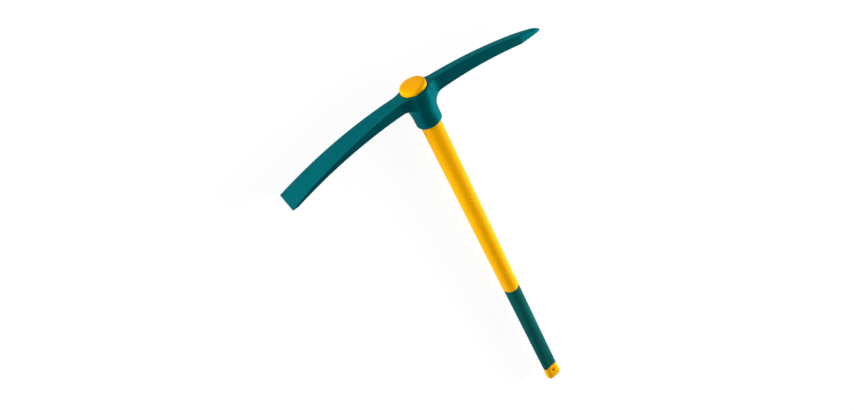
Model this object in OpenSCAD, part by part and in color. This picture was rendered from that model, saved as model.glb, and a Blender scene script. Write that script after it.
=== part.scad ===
// Digging pick: a forged head with a point and a chisel, on a composite handle.
// The head drops over the grip end of the handle and jams on the flare at its top.

/* [Handle] */
// Length from the top of the crown to the end of the pommel
handle_length = 900; // [700:5:1100]
// Diameter of the round shaft
shaft_d = 35; // [32:0.1:36]
// Height of the crown that shows above the head
crown_h = 9.8; // [7:0.1:16]
// How far the crown overhangs the eye
crown_overhang = 1.5; // [0.5:0.1:3]
// Rounding of the crown's top edge
crown_round = 4; // [1:0.1:6]
// Diameter of the glass-fibre rod inside the handle
core_d = 18; // [12:0.1:18.5]

/* [Grip] */
// Length of the grip from the shaft's lip to the crest of the pommel's arch
grip_length = 318; // [200:1:420]
// Diameter of the grip where it is round, and its width where it is flattened
grip_d = 33.8; // [30:0.1:34.6]
// Wall of the soft sleeve
grip_wall = 2.4; // [1.5:0.1:3]
// Length over which the grip flattens, up from the end of the handle
flat_length = 270; // [150:1:330]

/* [Pommel] */
// Width of the flattened end
pommel_w = 36.8; // [35.4:0.1:42]
// Thickness of the flattened end
pommel_t = 23; // [18:0.1:28]
// Distance from the end of the handle to the crest of the arch
pommel_length = 50; // [48:0.5:80]
// Radius of the arch where the sleeve stops on the flat faces
arch_r = 17.8; // [17.4:0.1:24]
// Diameter of the hang hole
hang_d = 10; // [6:0.1:12]
// Distance of the hang hole from the end of the handle
hang_from_end = 29; // [18:0.5:34]

/* [Eye and socket] */
// Height of the socket
socket_h = 66; // [58:0.5:90]
// Taper of the eye, per side, in degrees
eye_taper = 1.5; // [1:0.1:3]
// Wall of the eye at the head's top face
boss_wall = 4.8; // [4:0.1:8]
// Wall of the socket at its lower rim
rim_wall = 3.4; // [2.2:0.1:5]
// Height of the straight upper part of the socket, where the arms join
boss_h = 18; // [14:0.5:26]
// Height of the straight lower part of the socket
collar_h = 14; // [8:0.5:26]

/* [Chisel arm] */
// Reach of the cutting edge from the handle's axis
chisel_reach = 258.5; // [200:0.5:320]
// Depth of the cutting edge below the head's top face
chisel_drop = 25.2; // [10:0.1:45]
// Height of the arm's bow over the straight line from boss to edge
chisel_bow = 8.4; // [4:0.1:14]
// Width where the arm leaves the boss
chisel_root_w = 27; // [20:0.1:34]
// Width of the cutting edge
chisel_edge_w = 54.4; // [44:0.1:70]
// Thickness where the arm leaves the boss
chisel_root_t = 20; // [15:0.1:24]
// Thickness at the start of the bevel
chisel_end_t = 4.8; // [3:0.1:7]
// Length of the bevel behind the cutting edge
chisel_bevel = 10; // [5:0.5:25]

/* [Point arm] */
// Reach of the point from the handle's axis
point_reach = 243.6; // [200:0.5:320]
// Depth of the point below the head's top face
point_drop = 51.6; // [30:0.1:70]
// Height of the arm's bow over the straight line from boss to point
point_bow = 6.8; // [3:0.1:12]
// Width where the arm leaves the boss
point_root_w = 17.6; // [14:0.1:24]
// Width where the ground point starts
point_end_w = 15.4; // [11:0.1:18]
// Thickness where the arm leaves the boss
point_root_t = 26; // [20:0.1:30]
// Thickness where the ground point starts
point_end_t = 16.8; // [13:0.1:20]
// Length of the ground point
point_ground = 43; // [30:0.5:60]
// Fall of the top line at the very point, below the arm's own curve
point_nose = 3.1; // [0:0.1:5]

/* [Hidden] */

// Clearances and the overrun of every cut
slide_clearance = 0.4;
eye_clearance = 0.12;
crown_seat_gap = 0.1;
bond_gap = 0.04;
overrun = 1;

// Small sizes of the handle
crown_foot_round = 1;
crown_cover = 6;
tenon_start = 14;
tenon_blend = 8;
lip_round = 1.6;
lip_gap = 0.3;
grip_edge = 0.9;
pommel_round = 3;
flare_length = 44;
core_edge_round = 1.5;
core_stop = 130;
flat_squareness_share = 0.35;

// Small sizes of the head
boss_round = 2.4;
rim_round = 2.6;
arm_step = 0.2;
arm_edge_r = 1.2;
chisel_edge_t = 1.6;
point_tip_w = 7;
point_tip_t = 7;
point_nose_length = 14;
point_blunt_share = 0.85;
chisel_plan_fillet = 45;
point_plan_fillet = 30;
chisel_under_fillet = 17;
point_under_fillet = 19;
foot_sink = 0.3;

// How the arms narrow and thin along their length
chisel_width_power = 0.78;
arm_thin_power = 0.8;
under_round_share = 0.75;
edge_limit_share = 0.42;

// Counts of points and stations
$fn = 96;
ring_points = 44;
flat_steps = 3;
corner_steps = 6;
side_steps = 7;
root_steps = 18;
arm_steps = 10;
tip_steps = 6;
waist_steps = 10;
grip_steps = 12;
round_steps = 4;

// Sizes that follow from the ones above, along the handle's axis from the head's top face
end_z = crown_h - handle_length;
grip_top_z = end_z + pommel_length + grip_length;
arch_z = end_z + pommel_length - arch_r;
eye_bottom_r = pommel_w / 2 + slide_clearance;
eye_top_r = eye_r(0);
crown_r = eye_top_r + crown_overhang;
boss_r = eye_top_r + boss_wall;
rim_r = eye_bottom_r + rim_wall;
collar_z = collar_h - socket_h;

function eye_r(z) = eye_bottom_r + (z + socket_h) * tan(eye_taper);
function tenon_r(z) = eye_r(z) - eye_clearance;
function socket_r(z) = mix(rim_r, boss_r, smooth(part_way(z, collar_z, -boss_h)));
function mix(from, to, t) = from + (to - from) * t;
function part_way(u, from, to) = min(1, max(0, (u - from) / (to - from)));
function smooth(t) = t * t * (3 - 2 * t);

// Each piece is drawn along the handle's axis, from the head's top face at z = 0 and with the point
// towards +X. Then the tool is laid on its side, centred over the floor, with the grip end towards +X.
module laid() {
    translate([
        crown_h - handle_length / 2,
        (chisel_reach - point_reach) / 2,
        max(chisel_edge_w / 2, boss_r)
    ])
        rotate([-90, 0, 90])
            children();
}

// Profile of a turned block between two heights, with its lower and upper edges rounded
module turned(low_r, high_r, low_z, high_z, low_round, high_round) {
    slope = (high_r - low_r) / (high_z - low_z);
    normal = [1, -slope] / norm([1, slope]);
    low_c = [low_r + slope * low_round - low_round / normal.x, low_z + low_round];
    high_c = [high_r - slope * high_round - high_round / normal.x, high_z - high_round];
    polygon([
        [0, low_z],
        [low_c.x, low_z],
        low_c + low_round * normal,
        high_c + high_round * normal,
        [high_c.x, high_z],
        [0, high_z]
    ]);
    if (low_round > 0) translate(low_c) circle(low_round);
    if (high_round > 0) translate(high_c) circle(high_round);
}

// Skin over a row of rings that have the same number of points
module loft(rings) {
    count = len(rings[0]);
    last = (len(rings) - 1) * count;
    polyhedron(
        points = [for (ring = rings) each ring],
        faces = concat(
            [[for (i = [0 : count - 1]) i]],
            [[for (i = [count - 1 : -1 : 0]) last + i]],
            [for (k = [0 : count : last - count], i = [0 : count - 1])
                let (next = (i + 1) % count)
                each [
                    [k + i, k + count + i, k + next],
                    [k + next, k + count + i, k + count + next]
                ]
            ]
        )
    );
}

// The forged head

// Where the fillet between the socket and an arm's side meets that side
function fillet_end(base_r, half_w, r) = [sqrt(pow(base_r + r, 2) - pow(half_w + r, 2)), half_w];

// How far that fillet widens the arm on each side, at a distance from the axis
function plan_fillet(u, base_r, half_w, r) =
    let (
        end = fillet_end(base_r, half_w, r),
        far = base_r + r,
        near = (u * u - r * r + far * far) / (2 * far),
        aside = sqrt(max(0, u * u - near * near))
    )
    u >= norm(end) ? 0 : (near * (half_w + r) - aside * end.x) / far - half_w;

// Distance from the axis at which the fillet under an arm ends, just inside the socket
function under_foot(root_t, r) = socket_r(-arm_step - root_t - r) - foot_sink;

// How far that fillet reaches down the socket
function under_fillet(u, root_t, r) =
    let (reach = r - max(0, u - under_foot(root_t, r)))
    reach <= 0 ? 0 : r - sqrt(r * r - reach * reach);

// Top line of an arm: a straight fall from the boss with a bow over it
function top_line(u, reach, drop, bow) =
    let (t = part_way(u, boss_r, reach))
    -arm_step - (drop - arm_step) * t + 4 * bow * t * (1 - t);

function corner(centre, r, start) = [
    for (i = [0 : corner_steps])
        let (a = start + 90 * i / corner_steps)
        centre + r * [cos(a), sin(a)]
];

// A section lies on a cylinder round the handle's axis where its bend is 1, and is flat where it is 0
function bent(u, p, bend) = [u - bend * (u - sqrt(max(0, u * u - p.x * p.x))), p.x, p.y];

// Section of an arm across its length: a rectangle with round corners, whose sides and underside follow
// the fillets into the socket
function arm_section(u, bend, half_w, root_half_w, plan_r, high_z, thick, root_t, under_r) =
    let (
        under = under_fillet(u, root_t, under_r),
        low_z = high_z - thick - under,
        limit = edge_limit_share * min(2 * half_w, thick),
        high_r = min(arm_edge_r, limit),
        low_r = min(arm_edge_r + under_round_share * under, 2 * edge_limit_share * half_w, limit + under),
        levels = [for (i = [0 : side_steps]) mix(low_z + low_r, high_z - high_r, i / side_steps)],
        side = [
            for (z = levels)
                [half_w + plan_fillet(u, socket_r(z) - foot_sink, root_half_w, plan_r), z]
        ],
        flat_end = side[0] - [low_r, 0],
        half = concat(
            [for (i = [0 : flat_steps - 1]) [flat_end.x * (2 * i + 1) / (2 * flat_steps), low_z]],
            corner(flat_end, low_r, 270),
            [for (i = [1 : side_steps - 1]) side[i]],
            corner(side[side_steps] - [high_r, 0], high_r, 0)
        )
    )
    concat(
        [for (i = [len(half) - 1 : -1 : 0]) bent(u, [-half[i].x, half[i].y], bend)],
        [for (p = half) bent(u, p, bend)]
    );

// Places along an arm, close together where its underside leaves the socket and towards its tip
function stations(foot, root_end, arm_end, tip) = concat(
    [0],
    [for (i = [0 : root_steps]) mix(foot, root_end, pow(i / root_steps, 2))],
    [for (i = [1 : arm_steps]) mix(root_end, arm_end, i / arm_steps)],
    [for (i = [1 : tip_steps]) mix(tip, arm_end, pow(1 - i / tip_steps, 2))]
);

function chisel_ring(u) =
    let (
        body_end = chisel_reach - chisel_bevel,
        t = part_way(u, boss_r, body_end),
        bevel = part_way(u, body_end, chisel_reach),
        wide = pow(part_way(u, boss_r, chisel_reach), chisel_width_power),
        line_w = mix(chisel_root_w, chisel_edge_w, wide),
        thick = mix(chisel_root_t, chisel_end_t, pow(t, arm_thin_power)),
        thin = mix(thick, chisel_edge_t, bevel)
    )
    arm_section(
        u,
        1 - t,
        line_w / 2,
        chisel_root_w / 2,
        chisel_plan_fillet,
        top_line(u, chisel_reach, chisel_drop, chisel_bow),
        thin,
        chisel_root_t,
        chisel_under_fillet
    );

function point_ring(u) =
    let (
        body_end = point_reach - point_ground,
        t = part_way(u, boss_r, body_end),
        ground = part_way(u, body_end, point_reach),
        line_w = mix(point_root_w, point_end_w, t),
        thick = mix(point_root_t, point_end_t, pow(t, arm_thin_power)),
        last = part_way(u, point_reach - point_nose_length, point_reach),
        nose = point_nose * pow(last, 2),
        blunt = sqrt(1 - pow(point_blunt_share * last, 2))
    )
    arm_section(
        u,
        1 - t,
        mix(line_w, point_tip_w, ground) * blunt / 2,
        point_root_w / 2,
        point_plan_fillet,
        top_line(u, point_reach, point_drop - point_nose, point_bow) - nose,
        mix(thick, point_tip_t, ground) * blunt,
        point_root_t,
        point_under_fillet
    );

module chisel_arm() {
    half_w = chisel_root_w / 2;
    foot = under_foot(chisel_root_t, chisel_under_fillet);
    root_end = max(norm(fillet_end(boss_r, half_w, chisel_plan_fillet)), foot + chisel_under_fillet);
    places = stations(foot, root_end, chisel_reach - chisel_bevel, chisel_reach);
    rotate([0, 0, 180])
        loft([for (u = places) chisel_ring(u)]);
}

module point_arm() {
    half_w = point_root_w / 2;
    foot = under_foot(point_root_t, point_under_fillet);
    root_end = max(norm(fillet_end(boss_r, half_w, point_plan_fillet)), foot + point_under_fillet);
    places = stations(foot, root_end, point_reach - point_ground, point_reach);
    loft([for (u = places) point_ring(u)]);
}

module socket() {
    rotate_extrude() {
        turned(rim_r, rim_r, -socket_h, collar_z, rim_round, 0);
        turned(boss_r, boss_r, -boss_h, 0, 0, boss_round);
        polygon(concat(
            [[0, -boss_h], [0, collar_z]],
            [
                for (i = [0 : waist_steps])
                    let (t = i / waist_steps)
                    [mix(rim_r, boss_r, smooth(t)), mix(collar_z, -boss_h, t)]
            ]
        ));
    }
}

module eye() {
    translate([0, 0, -socket_h - overrun])
        cylinder(
            h = socket_h + 2 * overrun,
            r1 = eye_r(-socket_h - overrun),
            r2 = eye_r(overrun)
        );
}

module pick_head() {
    color([0, 0.33, 0.35])
        laid()
            difference() {
                union() {
                    socket();
                    chisel_arm();
                    point_arm();
                }
                eye();
            }
}

// The handle

// How far the section has flattened, and how far it has flared, at a distance from the end
function flattened(s) = smooth(part_way(s, flat_length, pommel_round));
function flared(s) = smooth(part_way(s, flare_length, pommel_round));

// Ring round the grip or pommel at a distance from the end, drawn in by an inset
function grip_ring(s, inset) =
    let (
        half_w = mix(grip_d, pommel_w, flared(s)) / 2 - inset,
        half_t = mix(grip_d, pommel_t, flattened(s)) / 2 - inset,
        power = 1 - flat_squareness_share * flattened(s)
    )
    [
        for (i = [0 : ring_points - 1])
            let (a = 360 * i / ring_points)
            [
                half_w * sign(cos(a)) * pow(abs(cos(a)), power),
                half_t * sign(sin(a)) * pow(abs(sin(a)), power),
                end_z + s
            ]
    ];

// The neck under the sleeve, drawn in from the grip's outline by an inset
module neck(inset) {
    top_s = pommel_length + grip_length + lip_gap + 2 * lip_round;
    loft([for (i = [0 : grip_steps]) grip_ring(mix(pommel_round, top_s, i / grip_steps), inset)]);
}

// What lies below the arched line where the sleeve stops
module arch(r) {
    translate([0, 0, arch_z]) {
        rotate([90, 0, 0])
            cylinder(h = 2 * shaft_d, r = r, center = true);
        translate([-shaft_d, -shaft_d, -pommel_length])
            cube([2 * shaft_d, 2 * shaft_d, pommel_length]);
    }
}

module pommel() {
    top_s = pommel_length + overrun;
    rounded = [
        for (i = [0 : round_steps])
            let (a = 90 * i / round_steps)
            grip_ring(pommel_round * (1 - cos(a)), pommel_round * (1 - sin(a)))
    ];
    straight = [for (i = [1 : grip_steps]) grip_ring(mix(pommel_round, top_s, i / grip_steps), 0)];
    intersection() {
        loft(concat(rounded, straight));
        arch(arch_r - bond_gap);
    }
}

module shaft() {
    tenon_z = tenon_start - socket_h;
    lip_z = grip_top_z + lip_gap;
    rotate_extrude() {
        turned(crown_r, crown_r, crown_seat_gap, crown_h, crown_foot_round, crown_round);
        turned(tenon_r(tenon_z), tenon_r(crown_h / 2), tenon_z, crown_h / 2, 0, 0);
        turned(shaft_d / 2, tenon_r(tenon_z), tenon_z - tenon_blend, tenon_z, 0, 0);
        turned(shaft_d / 2, shaft_d / 2, lip_z, tenon_z - tenon_blend, lip_round, 0);
    }
}

module rod(gap) {
    low_z = end_z + core_stop;
    rotate_extrude()
        turned(
            core_d / 2 + gap,
            core_d / 2 + gap,
            low_z - gap,
            crown_h - crown_cover + gap,
            core_edge_round,
            core_edge_round
        );
}

module handle_jacket() {
    color([1, 0.8, 0])
        laid()
            difference() {
                union() {
                    shaft();
                    neck(grip_wall);
                    pommel();
                }
                rod(bond_gap);
                translate([0, 0, end_z + hang_from_end])
                    rotate([90, 0, 0])
                        cylinder(h = 2 * shaft_d, d = hang_d, center = true);
            }
}

module core_rod() {
    color([0.86, 0.85, 0.76])
        laid()
            rod(0);
}

module grip_sleeve() {
    low_s = pommel_length - arch_r;
    high_s = pommel_length + grip_length;
    color([0.06, 0.29, 0.29])
        laid()
            difference() {
                loft(concat(
                    [
                        for (i = [0 : grip_steps])
                            grip_ring(mix(low_s, high_s - grip_edge, i / grip_steps), 0)
                    ],
                    [grip_ring(high_s, grip_edge)]
                ));
                neck(grip_wall - bond_gap);
                arch(arch_r);
            }
}

pick_head();
handle_jacket();
core_rod();
grip_sleeve();
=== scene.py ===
"""Dresses the digging pick: painted forged head, moulded yellow handle, soft grip, studio and camera."""

import math
from types import SimpleNamespace

import bmesh
import bpy
import numpy as np
from mathutils import Euler, Matrix, Vector


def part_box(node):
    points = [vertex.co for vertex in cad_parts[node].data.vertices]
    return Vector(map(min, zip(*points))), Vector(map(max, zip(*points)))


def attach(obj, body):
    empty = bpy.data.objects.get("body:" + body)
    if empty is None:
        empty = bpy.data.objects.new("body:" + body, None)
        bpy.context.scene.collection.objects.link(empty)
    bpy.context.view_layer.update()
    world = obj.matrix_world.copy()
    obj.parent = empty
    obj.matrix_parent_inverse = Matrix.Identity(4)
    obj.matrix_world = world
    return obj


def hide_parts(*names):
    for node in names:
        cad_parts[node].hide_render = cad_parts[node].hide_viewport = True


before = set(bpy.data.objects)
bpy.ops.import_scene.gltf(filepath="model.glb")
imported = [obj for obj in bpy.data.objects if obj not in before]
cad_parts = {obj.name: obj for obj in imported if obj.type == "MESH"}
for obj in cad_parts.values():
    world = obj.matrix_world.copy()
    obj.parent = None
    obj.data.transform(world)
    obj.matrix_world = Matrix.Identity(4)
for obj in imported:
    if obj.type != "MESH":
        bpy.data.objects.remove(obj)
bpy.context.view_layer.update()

MM = 0.001

# Places read from the frame: the handle's axis and the planes along it
jacket_low, jacket_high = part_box("handle_jacket")
sleeve_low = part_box("grip_sleeve")[0]
head_low, head_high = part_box("pick_head")
AXIS_Y = (jacket_low.y + jacket_high.y) / 2
AXIS_Z = (jacket_low.z + jacket_high.z) / 2
CROWN_R = (jacket_high.z - jacket_low.z) / 2
CROWN_X = jacket_low.x
END_X = jacket_high.x
GRIP_TOP_X = sleeve_low.x

# Sizes of the handle
CROWN_H = 9.8 * MM
CROWN_ROUND = 4 * MM
CROWN_DOME = 0.5 * MM
CROWN_FOOT_ROUND = 1.2 * MM
CROWN_SEAT_GAP = 0.1 * MM
SOCKET_H = 66 * MM
EYE_BOTTOM_R = 18.8 * MM
EYE_TAPER = math.radians(1.5)
EYE_CLEARANCE = 0.12 * MM
TENON_START = 14 * MM
TENON_BLEND = 8 * MM
SHAFT_R = 17.5 * MM
LIP_ROUND = 1.6 * MM
LIP_GAP = 0.3 * MM
GRIP_D = 33.8 * MM
GRIP_WALL = 2.4 * MM
GRIP_EDGE = 0.9 * MM
FLAT_LENGTH = 270 * MM
FLARE_LENGTH = 44 * MM
SQUARE_SHARE = 0.35
POMMEL_W = 36.8 * MM
POMMEL_T = 23 * MM
POMMEL_LENGTH = 50 * MM
POMMEL_ROUND = 3 * MM
POMMEL_EDGE = 0.6 * MM
ARCH_R = 17.8 * MM
SHUT_OFF_GAP = 0.35 * MM
HANG_R = 5 * MM
HANG_FROM_END = 29 * MM
HANG_RIM = 0.9 * MM
SLIVER = 0.2 * MM
MOULD_GAP = 0.04 * MM
NECK_TO_ARCH = 2 * MM
GATE_FROM_TOP = 251.5 * MM
GATE_ANGLE = math.radians(-8.3)
GATE_R = 1.5 * MM
GATE_DEPTH = 1.5 * MM
GATE_SHARES = ((0.3, -0.4), (0.45, -1), (0.75, -1), (1, 0), (1.1, 1))

# Sizes of the head
EYE_OVERRUN = 1 * MM
BOSS_WALL = 4.8 * MM
BOSS_H = 18 * MM
BOSS_ROUND = 2.4 * MM
RIM_WALL = 3.4 * MM
RIM_ROUND = 2.6 * MM
COLLAR_H = 14 * MM
ARM_STEP = 0.2 * MM
ARM_EDGE_R = 1.2 * MM
ARM_THIN_POWER = 0.8
EDGE_LIMIT_SHARE = 0.42
UNDER_ROUND_SHARE = 0.75
FOOT_SINK = 0.3 * MM
GROUND_FADE = 1 * MM
HEAD_VOXEL = 0.85 * MM
CHISEL = SimpleNamespace(
    side=-1,
    reach=AXIS_Y - head_low.y,
    drop=25.2 * MM,
    bow=8.4 * MM,
    root_w=27 * MM,
    end_w=54.4 * MM,
    width_power=0.78,
    root_t=20 * MM,
    end_t=4.8 * MM,
    ground=10 * MM,
    edge_t=1.6 * MM,
    plan_fillet=45 * MM,
    under_fillet=17 * MM,
)
POINT = SimpleNamespace(
    side=1,
    reach=head_high.y - AXIS_Y,
    drop=51.6 * MM,
    bow=6.8 * MM,
    root_w=17.6 * MM,
    end_w=15.4 * MM,
    root_t=26 * MM,
    end_t=16.8 * MM,
    ground=43 * MM,
    tip_w=7 * MM,
    tip_t=7 * MM,
    nose=3.1 * MM,
    nose_length=14 * MM,
    blunt_share=0.85,
    plan_fillet=30 * MM,
    under_fillet=19 * MM,
)

# Counts of points on every piece
AROUND = 144
ARC_STEPS = 8

# Counts of points on the handle and its grip, and of passes to find the arch between them
CROWN_STEPS = 6
TENON_STEPS = 6
BLEND_STEPS = 4
SHAFT_STEPS = 40
NECK_STEPS = 24
POMMEL_STEPS = 30
POMMEL_EDGE_STEPS = 4
HANG_AROUND = 64
HANG_RIM_STEPS = 6
GATE_AROUND = 24
GRIP_STEPS = 60
GRIP_EDGE_STEPS = 5
BORE_STEPS = 20
ARCH_PASSES = 6

# Counts of points on the head
FLAT_STEPS = 4
SIDE_STEPS = 12
ROOT_STEPS = 30
ARM_STEPS = 50
TIP_STEPS = 20

# Shares of a round face's radius at which its rings lie, from the small cap in its middle outwards
CAP_SHARE = 0.1
HEAD_FACE_SHARES = (CAP_SHARE, 0.4, 0.7)
END_FACE_SHARES = (CAP_SHARE, 0.3, 0.55, 0.8)

# How the head's points are told apart for its paint, and for its painted highlights on edges and on the
# point's ground sides
SHORTEST_EDGE = 1e-6 * MM
EDGE_GAIN = 6.0
EDGE_PASSES = 4
SIDEWAYS_FROM = 0.8
SIDEWAYS_FADE = 0.15

HEAD_TOP_X = CROWN_X + CROWN_H


def mix(a, b, t):
    """The value a share t of the way from a to b."""
    return a + (b - a) * t


def part_way(u, start, stop):
    """How far u has come from start to stop, held between 0 and 1."""
    return min(1.0, max(0.0, (u - start) / (stop - start)))


def smooth(t):
    """An even ease from 0 to 1."""
    return t * t * (3 - 2 * t)


def steps(start, stop, count):
    """Evenly spaced values from start to stop, both included."""
    return [mix(start, stop, i / count) for i in range(count + 1)]


def turn_angles(count):
    """Evenly spaced angles once round."""
    return [2 * math.pi * i / count for i in range(count)]


ANGLES = turn_angles(AROUND)

# Mesh helpers


def new_piece(name, mesh):
    piece = bpy.data.objects.new(name, mesh)
    bpy.context.scene.collection.objects.link(piece)
    return piece


def shade_smooth(mesh):
    mesh.polygons.foreach_set("use_smooth", [True] * len(mesh.polygons))
    mesh.update()


def skin(name, rings, closed):
    """Quads over a row of rings; closed joins the last ring to the first, or else the ends are capped."""
    bm = bmesh.new()
    rows = [[bm.verts.new(p) for p in ring] for ring in rings]
    count = len(rings[0])
    pairs = list(zip(rows, rows[1:]))
    if closed:
        pairs.append((rows[-1], rows[0]))
    for low, high in pairs:
        for i in range(count):
            j = (i + 1) % count
            bm.faces.new((low[i], low[j], high[j], high[i]))
    if not closed:
        bm.faces.new(list(reversed(rows[0])))
        bm.faces.new(rows[-1])
    bmesh.ops.recalc_face_normals(bm, faces=bm.faces)
    mesh = bpy.data.meshes.new(name)
    bm.to_mesh(mesh)
    bm.free()
    shade_smooth(mesh)
    return mesh


def apply_modifiers(piece):
    """Replaces the piece's mesh with what its modifiers make of it."""
    graph = bpy.context.evaluated_depsgraph_get()
    graph.update()
    mesh = bpy.data.meshes.new_from_object(piece.evaluated_get(graph))
    old = piece.data
    piece.modifiers.clear()
    piece.data = mesh
    bpy.data.meshes.remove(old)


def combine(piece, mesh, operation):
    """Adds a mesh's volume to the piece or takes it out."""
    other = new_piece("other", mesh)
    boolean = piece.modifiers.new("combine", "BOOLEAN")
    boolean.operation = operation
    boolean.solver = "EXACT"
    boolean.object = other
    apply_modifiers(piece)
    bpy.data.objects.remove(other)


# The handle's rings, by distance from its end


def outline(s, angle, inset):
    """Half width and half thickness of the grip or pommel at one angle round the axis."""
    flat = smooth(part_way(s, FLAT_LENGTH, POMMEL_ROUND))
    flare = smooth(part_way(s, FLARE_LENGTH, POMMEL_ROUND))
    half_w = mix(GRIP_D, POMMEL_W, flare) / 2 - inset
    half_t = mix(GRIP_D, POMMEL_T, flat) / 2 - inset
    power = 1 - SQUARE_SHARE * flat
    cosine = math.cos(angle)
    sine = math.sin(angle)
    return (
        math.copysign(abs(cosine) ** power * half_w, cosine),
        math.copysign(abs(sine) ** power * half_t, sine),
    )


def grip_point(s, angle, inset, scale=1.0):
    """Point of the grip or pommel at a distance from the end and an angle round the axis."""
    across, up = outline(s, angle, inset)
    return Vector((END_X - s, AXIS_Y + across * scale, AXIS_Z + up * scale))


def arch_line(angle):
    """Distance from the end at which the sleeve meets the pommel, at one angle round the axis."""
    base = POMMEL_LENGTH - ARCH_R
    s = base
    for _ in range(ARCH_PASSES):
        across = outline(s, angle, 0)[0]
        s = base + math.sqrt(max(0.0, ARCH_R ** 2 - across ** 2))
    return s


def round_ring(x, r):
    """Ring of one radius round the handle's axis."""
    return [Vector((x, AXIS_Y + r * math.cos(a), AXIS_Z + r * math.sin(a))) for a in ANGLES]


def arc(x, r, radius, start, stop):
    """Points of a profile's arc round (x, r); the angle is measured from +X towards larger radius."""
    return [
        (x + radius * math.cos(math.radians(a)), r + radius * math.sin(math.radians(a)))
        for a in steps(start, stop, ARC_STEPS)
    ]


def eye_r(depth):
    """Radius of the eye at a depth below the head's top face."""
    return EYE_BOTTOM_R + (SOCKET_H - depth) * math.tan(EYE_TAPER)


def shaft_profile():
    """Crown, flared tenon, shaft and lip as places along X and radii."""
    tenon_x = HEAD_TOP_X + SOCKET_H - TENON_START
    lip_x = GRIP_TOP_X - LIP_GAP
    foot_x = HEAD_TOP_X - CROWN_SEAT_GAP
    flat_r = CROWN_R - CROWN_ROUND
    profile = [(CROWN_X + CROWN_DOME * t * t, flat_r * t) for t in steps(CAP_SHARE, 1, CROWN_STEPS)]
    profile += arc(CROWN_X + CROWN_DOME + CROWN_ROUND, flat_r, CROWN_ROUND, 180, 90)[1:]
    profile += arc(foot_x - CROWN_FOOT_ROUND, CROWN_R - CROWN_FOOT_ROUND, CROWN_FOOT_ROUND, 90, 0)
    profile += [
        (mix(foot_x, tenon_x, t), eye_r(mix(0, SOCKET_H - TENON_START, t)) - EYE_CLEARANCE)
        for t in steps(0, 1, TENON_STEPS)
    ]
    tenon_r = profile[-1][1]
    profile += [
        (tenon_x + TENON_BLEND * t, mix(tenon_r, SHAFT_R, smooth(t)))
        for t in steps(0, 1, BLEND_STEPS + 1)[1:]
    ]
    profile += [(x, SHAFT_R) for x in steps(tenon_x + TENON_BLEND, lip_x - LIP_ROUND, SHAFT_STEPS)[1:-1]]
    profile += arc(lip_x - LIP_ROUND, SHAFT_R - LIP_ROUND, LIP_ROUND, 90, 0)
    return profile


def jacket_rings():
    """Rings of the yellow moulding from the crown's middle to the middle of the end face."""
    rings = [round_ring(x, r) for x, r in shaft_profile()]
    lip_s = END_X - GRIP_TOP_X + LIP_GAP
    crest = max(arch_line(a) for a in ANGLES)
    for s in steps(lip_s, crest + NECK_TO_ARCH, NECK_STEPS):
        rings.append([grip_point(s, a, GRIP_WALL) for a in ANGLES])
    rows = [(GRIP_WALL, 0.0)]
    rows += [
        (POMMEL_EDGE * (1 - math.sin(t)), POMMEL_EDGE * (1 - math.cos(t)))
        for t in steps(0, math.pi / 2, POMMEL_EDGE_STEPS)
    ]
    for inset, down in rows:
        rings.append([grip_point(arch_line(a) - down, a, inset) for a in ANGLES])
    for t in steps(0, 1, POMMEL_STEPS)[1:]:
        rings.append([grip_point(mix(arch_line(a) - POMMEL_EDGE, POMMEL_ROUND, t), a, 0) for a in ANGLES])
    for turn in steps(0, math.pi / 2, ARC_STEPS)[1:]:
        s = POMMEL_ROUND * (1 - math.sin(turn))
        rings.append([grip_point(s, a, POMMEL_ROUND * (1 - math.cos(turn))) for a in ANGLES])
    for scale in reversed(END_FACE_SHARES):
        rings.append([grip_point(0, a, POMMEL_ROUND, scale) for a in ANGLES])
    return rings


def lathe(name, profile, place, around):
    """A turned cutter about Z, put in place by a matrix; the profile gives radius and height."""
    rings = []
    for r, z in profile:
        rings.append([place @ Vector((r * math.cos(a), r * math.sin(a), z)) for a in turn_angles(around)])
    return skin(name, rings, closed=False)


def hang_cutter():
    """A hole with rounded rims through the flat end."""
    s = HANG_FROM_END
    half = outline(s, math.pi / 2, 0)[1]
    flare = [
        (HANG_R + HANG_RIM * (1 - math.cos(t)), half - HANG_RIM * (1 - math.sin(t)))
        for t in steps(0, math.pi / 2, HANG_RIM_STEPS)
    ]
    top = flare + [(flare[-1][0], half + HANG_RIM)]
    bottom = [(r, -z) for r, z in reversed(top)]
    place = Matrix.Translation((END_X - s, AXIS_Y, AXIS_Z))
    return lathe("hang_cutter", bottom + top, place, HANG_AROUND)


def merge_slivers(mesh):
    """Dissolves the short edges that the hang hole's cut leaves on its rims, for even shading."""
    bm = bmesh.new()
    bm.from_mesh(mesh)
    reach = HANG_R + 2 * HANG_RIM
    near = [
        edge for edge in bm.edges
        if all(math.hypot(v.co.x - END_X + HANG_FROM_END, v.co.y - AXIS_Y) < reach for v in edge.verts)
    ]
    bmesh.ops.dissolve_degenerate(bm, edges=near, dist=SLIVER)
    bm.to_mesh(mesh)
    bm.free()


def gate_cutter():
    """The dimple that the moulding gate leaves, with a nub in its middle."""
    middle = Matrix.Translation((CROWN_X + GATE_FROM_TOP, AXIS_Y, AXIS_Z))
    turn = Matrix.Rotation(-GATE_ANGLE, 4, "X")
    place = middle @ turn @ Matrix.Translation((0, 0, SHAFT_R))
    profile = [(r * GATE_R, z * GATE_DEPTH) for r, z in GATE_SHARES]
    return lathe("gate_cutter", profile, place, GATE_AROUND)


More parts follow.
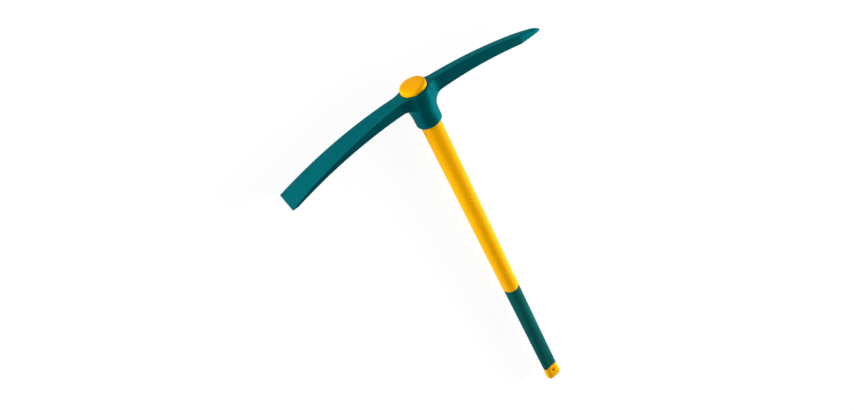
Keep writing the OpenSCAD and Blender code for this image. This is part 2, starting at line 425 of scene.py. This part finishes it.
def sleeve_rings():
    """Rings of the soft sleeve: outside from pommel to lip, then back along the bore."""
    top_s = END_X - GRIP_TOP_X
    turn = steps(0, math.pi / 2, GRIP_EDGE_STEPS)
    rings = []
    for t in turn:
        inset = GRIP_EDGE * (1 - math.sin(t))
        up = SHUT_OFF_GAP + GRIP_EDGE * (1 - math.cos(t))
        rings.append([grip_point(arch_line(a) + up, a, inset) for a in ANGLES])
    start = SHUT_OFF_GAP + GRIP_EDGE
    for t in steps(0, 1, GRIP_STEPS)[1:]:
        rings.append([grip_point(mix(arch_line(a) + start, top_s - GRIP_EDGE, t), a, 0) for a in ANGLES])
    for t in turn[1:]:
        s = top_s - GRIP_EDGE * (1 - math.sin(t))
        rings.append([grip_point(s, a, GRIP_EDGE * (1 - math.cos(t))) for a in ANGLES])
    bore = GRIP_WALL - MOULD_GAP
    for t in steps(0, 1, BORE_STEPS):
        rings.append([grip_point(mix(top_s, arch_line(a) + SHUT_OFF_GAP, t), a, bore) for a in ANGLES])
    return rings


# The head, by distance from the handle's axis and height, which is below zero under its top face


def socket_r(z):
    """Radius of the socket's outside at a height."""
    rim_r = EYE_BOTTOM_R + RIM_WALL
    boss_r = eye_r(0) + BOSS_WALL
    return mix(rim_r, boss_r, smooth(part_way(z, COLLAR_H - SOCKET_H, -BOSS_H)))


def fillet_end(base_r, half_w, r):
    """How far out the fillet between the socket and an arm's side meets that side."""
    return math.sqrt((base_r + r) ** 2 - (half_w + r) ** 2)


def plan_fillet(u, base_r, half_w, r):
    """How far that fillet widens the arm on each side, at a distance from the axis."""
    end = fillet_end(base_r, half_w, r)
    if u >= math.hypot(end, half_w):
        return 0.0
    far = base_r + r
    near = (u * u - r * r + far * far) / (2 * far)
    aside = math.sqrt(max(0.0, u * u - near * near))
    return (near * (half_w + r) - aside * end) / far - half_w


def under_foot(arm):
    """Distance from the axis at which the fillet under an arm ends, just inside the socket."""
    return socket_r(-ARM_STEP - arm.root_t - arm.under_fillet) - FOOT_SINK


def under_fillet(u, arm):
    """How far the fillet under an arm reaches down the socket."""
    r = arm.under_fillet
    reach = r - max(0.0, u - under_foot(arm))
    return r - math.sqrt(r * r - reach * reach) if reach > 0 else 0.0


def top_line(u, arm, drop):
    """Height of an arm's top at a distance from the axis: an even drop, bowed upwards."""
    t = part_way(u, socket_r(0), arm.reach)
    return -ARM_STEP - (drop - ARM_STEP) * t + 4 * arm.bow * t * (1 - t)


def corner_arc(across, z, r, start):
    """A quarter turn round one corner of an arm's section."""
    return [
        (across + r * math.cos(math.radians(a)), z + r * math.sin(math.radians(a)))
        for a in steps(start, start + 90, ARC_STEPS)
    ]


def arm_ring(u, arm, half_w, high_z, thick):
    """Ring round an arm: a rectangle with round corners, whose sides follow the fillets into the socket.

    It lies on a cylinder round the handle's axis at the boss and flattens out towards the arm's end.
    """
    bend = 1 - part_way(u, socket_r(0), arm.reach - arm.ground)
    under = under_fillet(u, arm)
    low_z = high_z - thick - under
    limit = EDGE_LIMIT_SHARE * min(2 * half_w, thick)
    high_r = min(ARM_EDGE_R, limit)
    low_r = min(ARM_EDGE_R + UNDER_ROUND_SHARE * under, 2 * EDGE_LIMIT_SHARE * half_w, limit + under)
    side = [
        (half_w + plan_fillet(u, socket_r(z) - FOOT_SINK, arm.root_w / 2, arm.plan_fillet), z)
        for z in steps(low_z + low_r, high_z - high_r, SIDE_STEPS)
    ]
    flat_end = side[0][0] - low_r
    half = [(flat_end * (i + 0.5) / FLAT_STEPS, low_z) for i in range(FLAT_STEPS)]
    half += corner_arc(flat_end, side[0][1], low_r, 270)
    half += side[1:-1]
    half += corner_arc(side[-1][0] - high_r, side[-1][1], high_r, 0)
    half += [(-across, z) for across, z in reversed(half)]
    ring = []
    for across, z in half:
        out = u - bend * (u - math.sqrt(max(0.0, u * u - across * across)))
        ring.append(Vector((HEAD_TOP_X - z, AXIS_Y + arm.side * out, AXIS_Z + across)))
    return ring


def chisel_ring(u):
    """Ring of the chisel arm, which widens and thins outwards and ends in a bevel."""
    arm = CHISEL
    body_end = arm.reach - arm.ground
    wide = part_way(u, socket_r(0), arm.reach) ** arm.width_power
    thick = mix(arm.root_t, arm.end_t, part_way(u, socket_r(0), body_end) ** ARM_THIN_POWER)
    thick = mix(thick, arm.edge_t, part_way(u, body_end, arm.reach))
    return arm_ring(u, arm, mix(arm.root_w, arm.end_w, wide) / 2, top_line(u, arm, arm.drop), thick)


def point_ring(u):
    """Ring of the point arm, which thins outwards and ends in a ground tip with a blunt, dropped nose."""
    arm = POINT
    body_end = arm.reach - arm.ground
    t = part_way(u, socket_r(0), body_end)
    ground = part_way(u, body_end, arm.reach)
    last = part_way(u, arm.reach - arm.nose_length, arm.reach)
    blunt = math.sqrt(1 - (arm.blunt_share * last) ** 2)
    wide = mix(mix(arm.root_w, arm.end_w, t), arm.tip_w, ground) * blunt
    thick = mix(mix(arm.root_t, arm.end_t, t ** ARM_THIN_POWER), arm.tip_t, ground) * blunt
    high_z = top_line(u, arm, arm.drop - arm.nose) - arm.nose * last ** 2
    return arm_ring(u, arm, wide / 2, high_z, thick)


def arm_mesh(name, arm, ring):
    """Skin over an arm, with its rings close together at the boss and at the tip."""
    half_w = arm.root_w / 2
    foot = under_foot(arm)
    side_end = math.hypot(fillet_end(socket_r(0), half_w, arm.plan_fillet), half_w)
    root_end = max(side_end, foot + arm.under_fillet)
    body_end = arm.reach - arm.ground
    places = [0.0]
    places += [mix(foot, root_end, t ** 2) for t in steps(0, 1, ROOT_STEPS)]
    places += steps(root_end, body_end, ARM_STEPS)[1:]
    places += [mix(arm.reach, body_end, (1 - t) ** 2) for t in steps(0, 1, TIP_STEPS)[1:]]
    return skin(name, [ring(u) for u in places], closed=False)


def socket_mesh():
    """The turned middle of the head, solid until the eye is cut."""
    rim_r = socket_r(-SOCKET_H)
    boss_r = socket_r(0)
    low_x = HEAD_TOP_X + SOCKET_H
    profile = [(HEAD_TOP_X, (boss_r - BOSS_ROUND) * t) for t in HEAD_FACE_SHARES]
    profile += arc(HEAD_TOP_X + BOSS_ROUND, boss_r - BOSS_ROUND, BOSS_ROUND, 180, 90)
    profile += [(HEAD_TOP_X - z, socket_r(z)) for z in steps(-BOSS_H, COLLAR_H - SOCKET_H, ROOT_STEPS)]
    profile += arc(low_x - RIM_ROUND, rim_r - RIM_ROUND, RIM_ROUND, 90, 0)
    profile += [(low_x, (rim_r - RIM_ROUND) * t) for t in reversed(HEAD_FACE_SHARES)]
    return skin("socket", [round_ring(x, r) for x, r in profile], closed=False)


def eye_cutter():
    """The tapered eye, running out past both faces of the head."""
    ends = (EYE_OVERRUN, -SOCKET_H - EYE_OVERRUN)
    return skin("eye", [round_ring(HEAD_TOP_X - z, eye_r(-z)) for z in ends], closed=False)


def read_rows(items, name, width, kind=float):
    """One property of all of a mesh's points, normals or edges, as the rows of an array."""
    values = np.zeros(len(items) * width, kind)
    items.foreach_get(name, values)
    return values.reshape(-1, width)


def keep_values(mesh, name, values):
    """Stores one value per point of the mesh, for its material to read."""
    mesh.attributes.new(name, "FLOAT", "POINT").data.foreach_set("value", values.astype(np.float32))


def edge_attribute(piece, gain, passes):
    """Stores how convex each point of the mesh is, from 0 on flats and hollows to 1 on edges."""
    mesh = piece.data
    count = len(mesh.vertices)
    co = read_rows(mesh.vertices, "co", 3)
    normal = read_rows(mesh.vertex_normals, "vector", 3)
    ends = read_rows(mesh.edges, "vertices", 2, int)
    seen = np.maximum(np.bincount(ends.ravel(), minlength=count), 1)

    def round_mean(from_a, from_b):
        """Mean over each point's edges of the values that its edges give it."""
        total = np.bincount(ends[:, 0], from_a, count) + np.bincount(ends[:, 1], from_b, count)
        return total / seen

    step = co[ends[:, 1]] - co[ends[:, 0]]
    step /= np.maximum(np.linalg.norm(step, axis=1), SHORTEST_EDGE)[:, None]
    convex = round_mean(-(step * normal[ends[:, 0]]).sum(1), (step * normal[ends[:, 1]]).sum(1))
    for _ in range(passes):
        convex = (convex + round_mean(convex[ends[:, 1]], convex[ends[:, 0]])) / 2
    keep_values(mesh, "edge", np.clip(convex * gain, 0, 1))


def ground_attribute(piece):
    """Stores where the arms' ends are ground, and by itself where the sides of the point are, as the mask
    of a painted highlight on them.
    """
    mesh = piece.data
    y = read_rows(mesh.vertices, "co", 3)[:, 1]
    cut_back = []
    for arm in (CHISEL, POINT):
        u = arm.side * (y - AXIS_Y)
        cut_back.append(np.clip((u - arm.reach + arm.ground) / GROUND_FADE, 0, 1))
    keep_values(mesh, "ground", np.maximum(*cut_back))
    # Mask of the painted highlight on the point's ground sides, where they face sideways
    normal_z = read_rows(mesh.vertex_normals, "vector", 3)[:, 2]
    sideways = np.clip((np.abs(normal_z) - SIDEWAYS_FROM) / SIDEWAYS_FADE, 0, 1)
    keep_values(mesh, "facet_highlight", cut_back[1] * sideways)


def forged_head():
    """Socket and both arms joined into one skin of even small faces, softened like a painted forging."""
    whole = new_piece("forging", socket_mesh())
    combine(whole, arm_mesh("chisel_arm", CHISEL, chisel_ring), "UNION")
    combine(whole, arm_mesh("point_arm", POINT, point_ring), "UNION")
    combine(whole, eye_cutter(), "DIFFERENCE")
    piece = new_piece("forged_head", whole.data.copy())
    remesh = piece.modifiers.new("remesh", "REMESH")
    remesh.mode = "VOXEL"
    remesh.voxel_size = HEAD_VOXEL
    wrap = piece.modifiers.new("wrap", "SHRINKWRAP")
    wrap.target = whole
    wrap.wrap_method = "NEAREST_SURFACEPOINT"
    soften = piece.modifiers.new("soften", "SMOOTH")
    soften.factor = 0.5
    soften.iterations = 4
    apply_modifiers(piece)
    bpy.data.objects.remove(whole)
    shade_smooth(piece.data)
    edge_attribute(piece, EDGE_GAIN, EDGE_PASSES)
    ground_attribute(piece)
    return piece


# Materials

# A Mix node's colour sockets, which share their names with its other kinds of socket
MIX_COLOUR_A = 6
MIX_COLOUR_B = 7
MIX_COLOUR_RESULT = 2

# Colours
PAINT_DARK = (0.0, 0.119, 0.135)
PAINT_LIGHT = (0.0, 0.133, 0.15)
PAINT_SPECK = (0.0, 0.17, 0.192)
# Lighter teal on the ground sides of the point: a painted highlight for the light those sides catch
PAINT_FACET_HIGHLIGHT = (0.0, 0.2, 0.225)
# Lighter teal on convex edges, in noisy patches: a painted edge highlight
PAINT_EDGE_HIGHLIGHT = (0.0, 0.23, 0.26)
PAINT_GLINT = (0.25, 0.9, 1.0, 1.0)
YELLOW_DEEP = (1.0, 0.44, 0.0)
YELLOW_PALE = (1.0, 0.47, 0.0)
RUBBER_DARK = (0.003, 0.083, 0.079)
RUBBER_LIGHT = (0.004, 0.097, 0.092)
RUBBER_GRAIN = (0.008, 0.135, 0.13)
FIBRE_DARK = (0.62, 0.6, 0.47)
FIBRE_LIGHT = (0.75, 0.74, 0.62)
FLOOR_DARK = (0.8, 0.8, 0.8)
FLOOR_LIGHT = (0.82, 0.82, 0.82)

# Depths of fine relief
FORGE_DEPTH = 0.4 * MM
GRIND_DEPTH = 0.15 * MM
PAINT_GRAIN_DEPTH = 0.05 * MM
DRAG_DEPTH = 0.15 * MM
PLASTIC_GRAIN_DEPTH = 0.03 * MM
RUBBER_GRAIN_DEPTH = 0.12 * MM
STRAND_DEPTH = 0.1 * MM

# The floor's own glow, and the share of it in what is seen of the floor
FLOOR_GLOW = 1.05
FLOOR_SHARE = 0.9


class Nodes:
    """A new node material with a Principled shader, and short calls to add and link nodes."""

    def __init__(self, name):
        self.material = bpy.data.materials.new(name)
        self.material.use_nodes = True
        self.tree = self.material.node_tree
        self.tree.nodes.clear()
        self.output = self.tree.nodes.new("ShaderNodeOutputMaterial")
        self.shader = self.tree.nodes.new("ShaderNodeBsdfPrincipled")
        self.link(self.shader.outputs["BSDF"], self.output.inputs["Surface"])
        self.coordinates = self.tree.nodes.new("ShaderNodeTexCoord").outputs["Object"]

    def link(self, out, socket):
        self.tree.links.new(out, socket)

    def noise(self, scale, detail, stretch=(1, 1, 1)):
        mapping = self.tree.nodes.new("ShaderNodeMapping")
        mapping.inputs["Scale"].default_value = stretch
        self.link(self.coordinates, mapping.inputs["Vector"])
        noise = self.tree.nodes.new("ShaderNodeTexNoise")
        noise.inputs["Scale"].default_value = scale
        noise.inputs["Detail"].default_value = detail
        self.link(mapping.outputs["Vector"], noise.inputs["Vector"])
        return noise.outputs["Fac"]

    def map_range(self, value, side, low, high):
        """A Map Range node with one side, From or To, set and the other left at 0 to 1."""
        node = self.tree.nodes.new("ShaderNodeMapRange")
        node.inputs[side + " Min"].default_value = low
        node.inputs[side + " Max"].default_value = high
        self.link(value, node.inputs["Value"])
        return node.outputs["Result"]

    def ramp(self, value, low, high):
        """Maps a value's low to high stretch onto 0 to 1."""
        return self.map_range(value, "From", low, high)

    def span(self, value, low, high):
        """Maps 0 to 1 onto low to high."""
        return self.map_range(value, "To", low, high)

    def blend(self, factor, a, b):
        """Mixes two colours; each is a plain colour or another node's output."""
        node = self.tree.nodes.new("ShaderNodeMix")
        node.data_type = "RGBA"
        self.link(factor, node.inputs["Factor"])
        for index, value in ((MIX_COLOUR_A, a), (MIX_COLOUR_B, b)):
            if isinstance(value, tuple):
                node.inputs[index].default_value = (*value, 1)
            else:
                self.link(value, node.inputs[index])
        return node.outputs[MIX_COLOUR_RESULT]

    def maths(self, operation, a, b):
        node = self.tree.nodes.new("ShaderNodeMath")
        node.operation = operation
        self.link(a, node.inputs[0])
        self.link(b, node.inputs[1])
        return node.outputs[0]

    def attribute(self, name):
        node = self.tree.nodes.new("ShaderNodeAttribute")
        node.attribute_name = name
        return node.outputs["Fac"]

    def bump(self, height, distance, strength, under=None):
        node = self.tree.nodes.new("ShaderNodeBump")
        node.inputs["Strength"].default_value = strength
        node.inputs["Distance"].default_value = distance
        self.link(height, node.inputs["Height"])
        if under is not None:
            self.link(under, node.inputs["Normal"])
        return node.outputs["Normal"]

    def set(self, **values):
        """Sets constants on the shader's own sockets."""
        for name, value in values.items():
            self.shader.inputs[name.replace("_", " ")].default_value = value

    def feed(self, name, out):
        self.link(out, self.shader.inputs[name])


def head_paint():
    """Satin teal paint, with painted highlights: lighter teal on convex edges, in patches, and on the
    ground sides of the point.
    """
    m = Nodes("head_paint")
    patches = m.ramp(m.noise(14, 3), 0.35, 0.7)
    specks = m.ramp(m.noise(700, 2), 0.45, 0.75)
    teal = m.blend(patches, PAINT_DARK, PAINT_LIGHT)
    teal = m.blend(m.span(specks, 0, 0.2), teal, PAINT_SPECK)
    # Convex edges lightened in noisy patches: a painted edge highlight
    edge_highlight_patches = m.ramp(m.noise(160, 4), 0.5, 0.8)
    painted_edge_highlight = m.maths("MULTIPLY", m.attribute("edge"), m.span(edge_highlight_patches, 0.25, 0.8))
    # Ground sides of the point lightened: a painted highlight
    teal = m.blend(m.span(m.attribute("facet_highlight"), 0, 0.8), teal, PAINT_FACET_HIGHLIGHT)
    m.feed("Base Color", m.blend(painted_edge_highlight, teal, PAINT_EDGE_HIGHLIGHT))
    m.feed("Roughness", m.span(m.noise(90, 3), 0.4, 0.5))
    forge = m.bump(m.noise(55, 2), FORGE_DEPTH, 0.5)
    scratches = m.maths("MULTIPLY", m.noise(260, 2, (6, 1, 1)), m.attribute("ground"))
    grind = m.bump(scratches, GRIND_DEPTH, 0.6, forge)
    m.feed("Normal", m.bump(m.noise(900, 2), PAINT_GRAIN_DEPTH, 0.6, grind))
    m.set(Metallic=0.6, Specular_IOR_Level=0.02, IOR=1.5, Specular_Tint=PAINT_GLINT)
    return m.material


def jacket_plastic():
    """Yellow moulded plastic with faint flow marks along the handle."""
    m = Nodes("jacket_plastic")
    flow = m.ramp(m.noise(6, 3, (0.35, 3, 3)), 0.3, 0.7)
    m.feed("Base Color", m.blend(flow, YELLOW_DEEP, YELLOW_PALE))
    m.feed("Roughness", m.span(m.noise(120, 4), 0.42, 0.54))
    drag = m.bump(m.noise(70, 2, (0.15, 1, 1)), DRAG_DEPTH, 0.35)
    m.feed("Normal", m.bump(m.noise(1400, 2), PLASTIC_GRAIN_DEPTH, 0.5, drag))
    m.set(Specular_IOR_Level=0.04, IOR=1.49)
    return m.material


def grip_rubber():
    """Matte, finely grained soft rubber."""
    m = Nodes("grip_rubber")
    handled = m.ramp(m.noise(22, 3, (0.5, 1, 1)), 0.35, 0.7)
    grain = m.ramp(m.noise(1500, 2), 0.4, 0.7)
    teal = m.blend(handled, RUBBER_DARK, RUBBER_LIGHT)
    m.feed("Base Color", m.blend(m.span(grain, 0, 0.35), teal, RUBBER_GRAIN))
    m.feed("Roughness", m.span(m.noise(200, 3), 0.62, 0.8))
    m.feed("Normal", m.bump(m.noise(1500, 3), RUBBER_GRAIN_DEPTH, 0.8))
    m.set(Specular_IOR_Level=0.015, IOR=1.45)
    return m.material


def core_fibre():
    """Glass fibre with its strands along the rod."""
    m = Nodes("core_fibre")
    strands = m.ramp(m.noise(900, 3, (0.02, 1, 1)), 0.35, 0.65)
    m.feed("Base Color", m.blend(strands, FIBRE_DARK, FIBRE_LIGHT))
    m.feed("Roughness", m.span(strands, 0.4, 0.6))
    m.feed("Normal", m.bump(strands, STRAND_DEPTH, 0.5))
    m.set(Specular_IOR_Level=0.4, IOR=1.52)
    return m.material


def floor_white():
    """A white floor that the camera sees as white and that still takes the object's shadow."""
    m = Nodes("floor_white")
    tone = m.ramp(m.noise(3, 2), 0.2, 0.8)
    m.feed("Base Color", m.blend(tone, FLOOR_DARK, FLOOR_LIGHT))
    m.set(Roughness=0.9, Specular_IOR_Level=0.1)
    glow = m.tree.nodes.new("ShaderNodeEmission")
    glow.inputs["Strength"].default_value = FLOOR_GLOW
    rays = m.tree.nodes.new("ShaderNodeLightPath").outputs
    seen = m.maths("MAXIMUM", rays["Is Camera Ray"], rays["Is Glossy Ray"])
    seen = m.maths("MAXIMUM", seen, rays["Is Transmission Ray"])
    joined = m.tree.nodes.new("ShaderNodeMixShader")
    m.link(m.span(seen, 0, FLOOR_SHARE), joined.inputs["Fac"])
    m.link(m.shader.outputs["BSDF"], joined.inputs[1])
    m.link(glow.outputs["Emission"], joined.inputs[2])
    m.link(joined.outputs["Shader"], m.output.inputs["Surface"])
    return m.material


def dress(piece, material, body, node):
    """Gives a piece its material, body and slot, and puts it in the place of a node of the frame."""
    piece.data.materials.clear()
    piece.data.materials.append(material)
    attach(piece, body)
    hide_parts(node)


# Pieces

head = forged_head()
dress(head, head_paint(), "head", "pick_head")

jacket = new_piece("moulded_jacket", skin("moulded_jacket", jacket_rings(), closed=False))
combine(jacket, hang_cutter(), "DIFFERENCE")
merge_slivers(jacket.data)
combine(jacket, gate_cutter(), "DIFFERENCE")
shade_smooth(jacket.data)
dress(jacket, jacket_plastic(), "handle", "handle_jacket")

sleeve = new_piece("soft_grip", skin("soft_grip", sleeve_rings(), closed=True))
dress(sleeve, grip_rubber(), "handle", "grip_sleeve")

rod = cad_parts["core_rod"]
rod.data.materials.clear()
rod.data.materials.append(core_fibre())

# Stage

FLOOR_HALF = 30.0
FLOOR_DROP = 0.5 * MM
BACKDROP_H = 6.0
WORLD_GLOW = 0.1

# The floor rises at its far edges into a backdrop, for views from low down
floor_corners = [(x * FLOOR_HALF, y * FLOOR_HALF) for x, y in ((-1, -1), (1, -1), (1, 1), (-1, 1))]
count = len(floor_corners)
backdrop = [(i + count, (i + 1) % count + count, (i + 1) % count, i) for i in range(count)]
floor_mesh = bpy.data.meshes.new("floor")
floor_mesh.from_pydata(
    [(x, y, z) for z in (-FLOOR_DROP, BACKDROP_H) for x, y in floor_corners],
    [],
    [tuple(range(count))] + backdrop,
)
floor = new_piece("floor", floor_mesh)
floor_mesh.materials.append(floor_white())

world = bpy.data.worlds.new("studio")
world.use_nodes = True
background = world.node_tree.nodes["Background"]
background.inputs["Color"].default_value = (1, 1, 1, 1)
background.inputs["Strength"].default_value = WORLD_GLOW
bpy.context.scene.world = world


def softbox(name, lamp):
    """A flat lamp turned to its aim; only a mirrored one shows in what the paint reflects."""
    light = bpy.data.lights.new(name, "AREA")
    light.shape = "RECTANGLE"
    light.size, light.size_y = lamp.size
    light.energy = lamp.power
    lit = bpy.data.objects.new(name, light)
    bpy.context.scene.collection.objects.link(lit)
    lit.visible_glossy = lamp.mirrored
    lit.location = lamp.place
    lit.rotation_euler = (Vector(lamp.aim) - Vector(lamp.place)).to_track_quat("-Z", "Y").to_euler()


LAMPS = {
    "left_softbox": SimpleNamespace(
        place=(0.0, -1.5, 0.15),
        aim=(0.0, 0.0, 0.03),
        size=(2.4, 0.28),
        power=13,
        mirrored=False,
    ),
    "right_softbox": SimpleNamespace(
        place=(0.85, 2.35, 0.95),
        aim=(-0.1, 0.0, 0.03),
        size=(1.8, 1.0),
        power=114,
        mirrored=False,
    ),
    "head_softbox": SimpleNamespace(
        place=(-1.1, -1.1, 0.18),
        aim=(-0.35, -0.12, 0.03),
        size=(1.0, 0.34),
        power=20,
        mirrored=False,
    ),
    "right_panel": SimpleNamespace(
        place=(1.65, 2.55, 0.93),
        aim=(-0.35, 0.0, 0.05),
        size=(3.4, 2.1),
        power=52,
        mirrored=True,
    ),
}
for lamp_name, lamp_values in LAMPS.items():
    softbox(lamp_name, lamp_values)

# Camera: the photograph's viewpoint, its turn in degrees and its focal length in the photograph's pixels

FRAME_WIDTH_PX = 854
FOCAL_PX = 625.36
SENSOR_WIDTH = 36.0
CAMERA_PLACE = (-0.93726, -0.26703, 0.8228)
CAMERA_TURN = (-30.138, -31.507, 64.16)
NEAREST_SEEN = 0.01

camera = bpy.data.cameras.new("camera")
camera.sensor_fit = "HORIZONTAL"
camera.sensor_width = SENSOR_WIDTH
camera.lens = FOCAL_PX * SENSOR_WIDTH / FRAME_WIDTH_PX
camera.clip_start = NEAREST_SEEN
viewer = bpy.data.objects.new("camera", camera)
bpy.context.scene.collection.objects.link(viewer)
viewer.location = CAMERA_PLACE
viewer.rotation_euler = Euler([math.radians(a) for a in CAMERA_TURN], "XYZ")
bpy.context.scene.camera = viewer
bpy.context.scene.view_settings.view_transform = "Standard"
